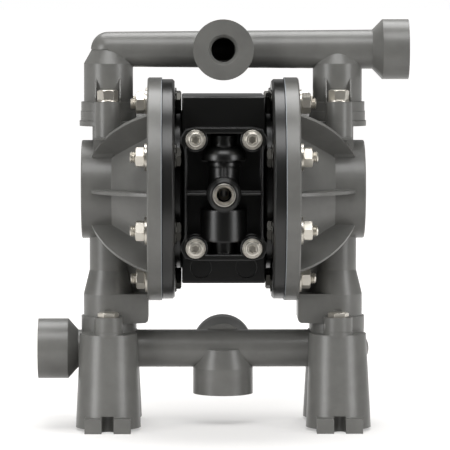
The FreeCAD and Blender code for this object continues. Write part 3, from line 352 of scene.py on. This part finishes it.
def socket_head(steps=72):
    """The head of a flanged socket screw up from 0, where it is seated: rings run from the shank's
    hole over the flange and up to the rim, then down the hexagonal socket to its shallow cone.
    """
    high = 0.0072
    seat = 0.0018
    top = 0.0051
    deep = 0.0026
    socket = hexagon(0.005, steps)
    profile = [(0.0029, 0.0), (SCREW_FLANGE, 0.0), (SCREW_FLANGE, seat * 0.55),
               (SCREW_FLANGE * 0.97, seat * 0.85), (SCREW_FLANGE * 0.93, seat),
               (top + 0.0006, seat + 0.0001), (top + 0.0002, seat + 0.0005),
               (top, high - 0.0009), (top - 0.00035, high - 0.0003), (top - 0.001, high),
               (socket + 0.0004, high), (socket, high - 0.0004), (socket, high - deep),
               (POLE, high - deep - 0.0001)]
    return turned(profile, steps)


def circle(grid, x, sign):
    """The grid on each of the eight places of the bolt circle, at x outwards, turned with its place."""
    return [placed(grid, (sign * x, BOLT_CIRCLE * math.cos(a), AXIS_HEIGHT + BOLT_CIRCLE * math.sin(a)),
                   (sign, 0, 0), a) for a in angles(8) + TURN / 16]


low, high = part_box("cap_bolts_right")
CAP_SEAT = low.x + FLANGE_HIGH + CAP_HEAD
CAP_LENGTH = high.x - CAP_SEAT
low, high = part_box("cap_nuts_right")
NUT_SEAT = low.x
NUT_HIGH = high.x - low.x
# The cap bolts' heads take the painted shade metal, in place of their stainless, for the shade between body
# and caps
for side, sign in SIDES:
    fixed("bolt_heads_" + side, circle(flanged_head(CAP_HEAD, CAP_FLANGE), CAP_SEAT, sign), painted_shade_steel,
          "cap_bolts_" + side)
    fixed("bolt_shanks_" + side, circle(threaded_shank(CAP_LENGTH, CAP_THREAD), CAP_SEAT, sign),
          stainless)
    fixed("hex_nuts_" + side, circle(nut(NUT_HIGH), NUT_SEAT, sign), stainless,
          "cap_nuts_" + side, looped=True)

for level in ("upper", "lower"):
    low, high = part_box(level + "_bolts")
    seat = high.z - FLANGE_HIGH - JOINT_HEAD
    spots = [(x, y, seat) for x in (-COLUMN_X, COLUMN_X) for y in (-JOINT_REACH, JOINT_REACH)]
    head = flanged_head(JOINT_HEAD, JOINT_FLANGE)
    shank = threaded_shank(seat - low.z, JOINT_THREAD)
    fixed("joint_bolt_heads_" + level, [placed(head, spot, (0, 0, -1), JOINT_SPIN) for spot in spots],
          stainless, level + "_bolts")
    fixed("joint_bolt_shanks_" + level, [placed(shank, spot, (0, 0, -1), JOINT_SPIN) for spot in spots],
          stainless)

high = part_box("valve_block_screws")[1]
across = high.x - SCREW_FLANGE
up = high.z - SCREW_FLANGE - AXIS_HEIGHT
fixed("valve_screw_heads", [placed(socket_head(), (x, LUG_FACE, AXIS_HEIGHT + z), (0, -1, 0))
                            for x in (-across, across) for z in (-up, up)],
      stainless, "valve_block_screws")


# Shoulders of the air caps, from the body's side to the bolts' seat

def shoulder():
    """A ring along Z, whose corner next to the body is chamfered."""
    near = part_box("centre_body")[1].x - 0.00005
    far = CAP_SEAT + 0.0001
    inner = 0.04
    outer = 0.0572
    chamfer = 0.0012
    chamfer_high = 0.00115
    return turned([(inner, near), (outer - chamfer, near), (outer, near + chamfer_high),
                   (outer, far), (inner, far)])


for side, sign in SIDES:
    fixed("cap_shoulder_" + side, [placed(shoulder(), (0, 0, AXIS_HEIGHT), (sign, 0, 0))], satin_black,
          looped=True)


# Painted highlight: a thin pale ring fills the eased edge of the grey flange next to the black one, standing
# for the light that edge catches

def painted_highlight_ring():
    """A thin ring along Z from just inside the black flange, whose pale colour paints the eased edge's
    highlight.
    """
    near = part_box("air_cap_right")[1].x - 0.0001
    far = near + 0.00055
    inner = 0.0785
    outer = 0.07955
    return turned([(inner, near), (outer, near), (outer, far), (inner, far)], 128)


for side, sign in SIDES:
    fixed("painted_highlight_ring_" + side, [placed(painted_highlight_ring(), (0, 0, AXIS_HEIGHT), (sign, 0, 0))], painted_highlight_edge,
          looped=True)


# Neck webs behind the lower nuts

def neck_web(sign):
    """A flat web between neck and flange: its outline (x, z) at both faces in Y, closed at both ends."""
    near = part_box("cap_washers_right")[0].x
    far = 0.07
    low = 0.0946
    high_near = 0.112
    high_far = 0.118
    half = 0.0016
    x = sign * np.array([near, far, far, near])
    z = np.array([low, low, high_far, high_near])
    rings = [np.stack([x, 0 * x + y, z], axis=-1) for y in (-half, half)]
    ends = [np.repeat(ring.mean(axis=0, keepdims=True), len(ring), axis=0) for ring in rings]
    grid = np.stack([ends[0], rings[0], rings[1], ends[1]])
    return grid if sign > 0 else grid[:, ::-1]


fixed("neck_webs", [neck_web(1), neck_web(-1)], moulded_grey)


# Port threads: half inch pipe thread in the five liquid ports, quarter inch in the air inlet

def port_thread(mount, lead, radius, deep, pitch, length, steps=48):
    """The thread in a port's bore, from lead outside the mount's point inwards, as seen from within.

    r = radius - deep w, where w rises and falls once in each pitch of depth, less the share of a turn
    that the angle has gone: w = 2.6 |phase - half| - 0.15, clipped to 0 and 1, and faded at both ends.
    """
    z = np.linspace(0, length, int(round(length / pitch * 8)) + 1)
    phase = (z[:, None] / pitch - angles(steps) / TURN) % 1.0
    fade = np.clip(np.minimum(z, length - z) / (0.6 * pitch), 0, 1)[:, None]
    w = np.clip(np.abs(phase - 0.5) * 2.6 - 0.15, 0, 1) * fade
    grid = turned(zip(radius - deep * w, z), steps)[::-1]
    out = np.array(mount["axis"], float)
    return placed(grid, np.array(mount["pos_m"]) + lead * out, -out)


mounts = {mount["name"]: mount for mount in frame["record"]["mounts"]}
LIQUID = dict(lead=0.0084, radius=0.00932, deep=0.0007, pitch=0.00181, length=0.0145)
AIR = dict(lead=0.0073, radius=0.00582, deep=0.0006, pitch=0.00141, length=0.0125)
THREADS = (
    ("outlet_threads", ("outlet_end", "outlet_front"), LIQUID, moulded_grey, "grey_casting"),
    ("inlet_threads", ("inlet_end", "inlet_rear", "inlet_bottom"), LIQUID, moulded_grey, "grey_casting"),
    ("air_thread", ("air_inlet",), AIR, turned_steel, "inlet_metal"))
for name, ports, sizes, material, slot in THREADS:
    fixed(name, [port_thread(mounts[port], **sizes) for port in ports], material, sharp=False)


# Membranes: each diaphragm in wedges, rolled over in a half wave between the housing's rim and the rod's
# plates

def membrane_wedge(sign, start, end, steps=5):
    """A wedge of a diaphragm from the angle start to end: its outline (x, r) turned about the rod.

    The middle line is at plate_x from hub to plate and at rim_x from clamp to edge. Between them it
    goes over and rises in one half wave, wave sin^2, where the diaphragm is thinner by thin sin. Both
    faces lie half the thickness away, and strips from the middle line to both close each cut edge.
    """
    hub = 0.0052
    plate = 0.038
    clamp = 0.052
    edge = 0.0615
    plate_x = 0.0465
    rim_x = 0.04493
    half_plate = 0.00147
    half_rim = 0.00144
    thin = 0.0005
    wave = 0.0026
    r = np.concatenate([np.linspace(hub, plate - 0.001, 6), np.linspace(plate + 0.0005, clamp - 0.0005, 14),
                        np.linspace(clamp + 0.001, edge, 5)])
    roll = np.clip((r - plate) / (clamp - plate), 0, 1)
    line = plate_x * (1 - roll) + rim_x * roll + wave * np.sin(roll * math.pi) ** 2
    half = np.where(r < clamp, half_plate, half_rim) - thin * np.sin(roll * math.pi)
    outline_r = np.concatenate([r, r[::-1]])
    outline_x = np.concatenate([line - half, (line + half)[::-1]])
    t = np.linspace(start, end, steps)[:, None]
    wedge = np.stack([sign * outline_x + 0 * t, outline_r * np.cos(t), AXIS_HEIGHT + outline_r * np.sin(t)],
                     axis=-1)
    cuts = wedge[[0, -1]].copy()
    cuts[..., 0] = sign * np.concatenate([line, line[::-1]])
    grid = np.concatenate([cuts[:1], wedge, cuts[1:]])
    return grid[:, ::-1] if sign > 0 else grid


WEDGES = 16
for side, sign in SIDES:
    for i in range(WEDGES):
        grid = membrane_wedge(sign, i * TURN / WEDGES, (i + 1) * TURN / WEDGES)
        wedge = surface("membrane_%s_%02d" % (side, i), [grid], elastomer)
        crisp(wedge, 50)
        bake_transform(wedge)
        if i == 0:
            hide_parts("diaphragm_" + side)


# Studio

def softbox(name, at, aim, wide, high, power):
    """A rectangular soft light at a point, turned towards another."""
    data = bpy.data.lights.new(name, "AREA")
    data.shape = "RECTANGLE"
    data.size = wide
    data.size_y = high
    data.energy = power
    light = bpy.data.objects.new(name, data)
    bpy.context.scene.collection.objects.link(light)
    light.location = at
    way = np.array(aim, float) - np.array(at, float)
    pitch = math.atan2(way[2], math.hypot(way[0], way[1]))
    light.rotation_euler = (math.pi / 2 + pitch, 0, -math.atan2(way[0], way[1]))


def axes(tree, kind):
    """A texture coordinate of a kind, and its separate X, Y and Z."""
    place = added(tree, "ShaderNodeTexCoord", {}).outputs[kind]
    return place, added(tree, "ShaderNodeSeparateXYZ", {"Vector": place}).outputs


def backdrop():
    """The world: white to the camera and through clear pieces.

    Reflections find a pale sheet behind the pump, above the floor's far end, and light falls from
    there more than from the front.
    """
    world = bpy.data.worlds.new("studio")
    bpy.context.scene.world = world
    world.use_nodes = True
    tree = world.node_tree
    rays = added(tree, "ShaderNodeLightPath", {}).outputs
    _, way = axes(tree, "Generated")
    behind = spread(tree, way["Y"], 0.2, 0.9)
    sheet = combined(tree, "MULTIPLY", behind, spread(tree, way["Z"], 0.06, 0.3, 0.0, 0.5))
    mirrored = combined(tree, "MULTIPLY", rays["Is Glossy Ray"], sheet)
    seen = combined(tree, "MAXIMUM", rays["Is Camera Ray"], rays["Is Transmission Ray"])
    seen = combined(tree, "MAXIMUM", seen, mirrored)
    strength = combined(tree, "MAXIMUM", seen, spread(tree, way["Y"], -0.6, 0.5, 0.03, 0.16))
    fill(tree, tree.nodes["Background"], {"Color": (1, 1, 1, 1), "Strength": strength})


def paper():
    """The floor's material: pale round the pump, white to the camera farther out.

    It is dark in front of the frame, so that the black front mirrors no light sheet, and white to
    the camera there too.
    """
    material = bpy.data.materials.new("paper")
    material.use_nodes = True
    tree = material.node_tree
    place, way = axes(tree, "Object")
    pale = spread(tree, way["Y"], -0.55, -0.25)
    reach = added(tree, "ShaderNodeVectorMath", {0: place})
    reach.operation = "LENGTH"
    far = spread(tree, reach.outputs["Value"], 0.25, 1.8, 0.37, 1.0)
    white = combined(tree, "MAXIMUM", far, combined(tree, "SUBTRACT", 1.0, pale))
    rays = added(tree, "ShaderNodeLightPath", {}).outputs
    seen = combined(tree, "MAXIMUM", rays["Is Camera Ray"], rays["Is Transmission Ray"])
    seen = combined(tree, "MAXIMUM", seen, combined(tree, "MULTIPLY", rays["Is Glossy Ray"], pale))
    fill(tree, tree.nodes["Principled BSDF"], {
        "Base Color": ramp(tree, pale, (0.015, 0.015, 0.015), (0.62, 0.61, 0.60)),
        "Roughness": 0.9,
        "Emission Color": (1, 0.992, 0.982, 1),
        "Emission Strength": combined(tree, "MULTIPLY", seen, white)})
    return material


def floor(half):
    """A square of paper that the pump stands on."""
    mesh = bpy.data.meshes.new("floor")
    corners = [(-half, -half, 0), (half, -half, 0), (half, half, 0), (-half, half, 0)]
    mesh.from_pydata(corners, [], [(0, 1, 2, 3)])
    mesh.materials.append(paper())
    sheet = bpy.data.objects.new("floor", mesh)
    bpy.context.scene.collection.objects.link(sheet)


def photo_view():
    """The camera at the photograph's place: its focal length is in pixels of a 450 pixel wide picture."""
    focal = 3366.0
    data = bpy.data.cameras.new("photo_view")
    data.sensor_width = 36
    data.lens = focal / 450 * data.sensor_width
    view = bpy.data.objects.new("photo_view", data)
    bpy.context.scene.collection.objects.link(view)
    bpy.context.scene.camera = view
    view.location = (-0.028, -2.4, 0.3078)
    view.rotation_euler = (math.radians(90 - 3.93), 0, math.radians(-0.704))


for sign, power in ((-1, 13.5), (1, 11.0)):
    softbox("side_softbox", (sign * 1.12, -0.86, 0.3), (0, 0, 0.15), 0.55, 1.1, power)
softbox("front_softbox", (0.0, -1.05, 1.7), (0, 0, 0.15), 1.5, 0.8, 21)
softbox("top_softbox", (0.0, 0.45, 1.5), (0, 0, 0.1), 1.4, 0.9, 22)
backdrop()
floor(60)
photo_view()
bpy.context.scene.view_settings.view_transform = "Standard"
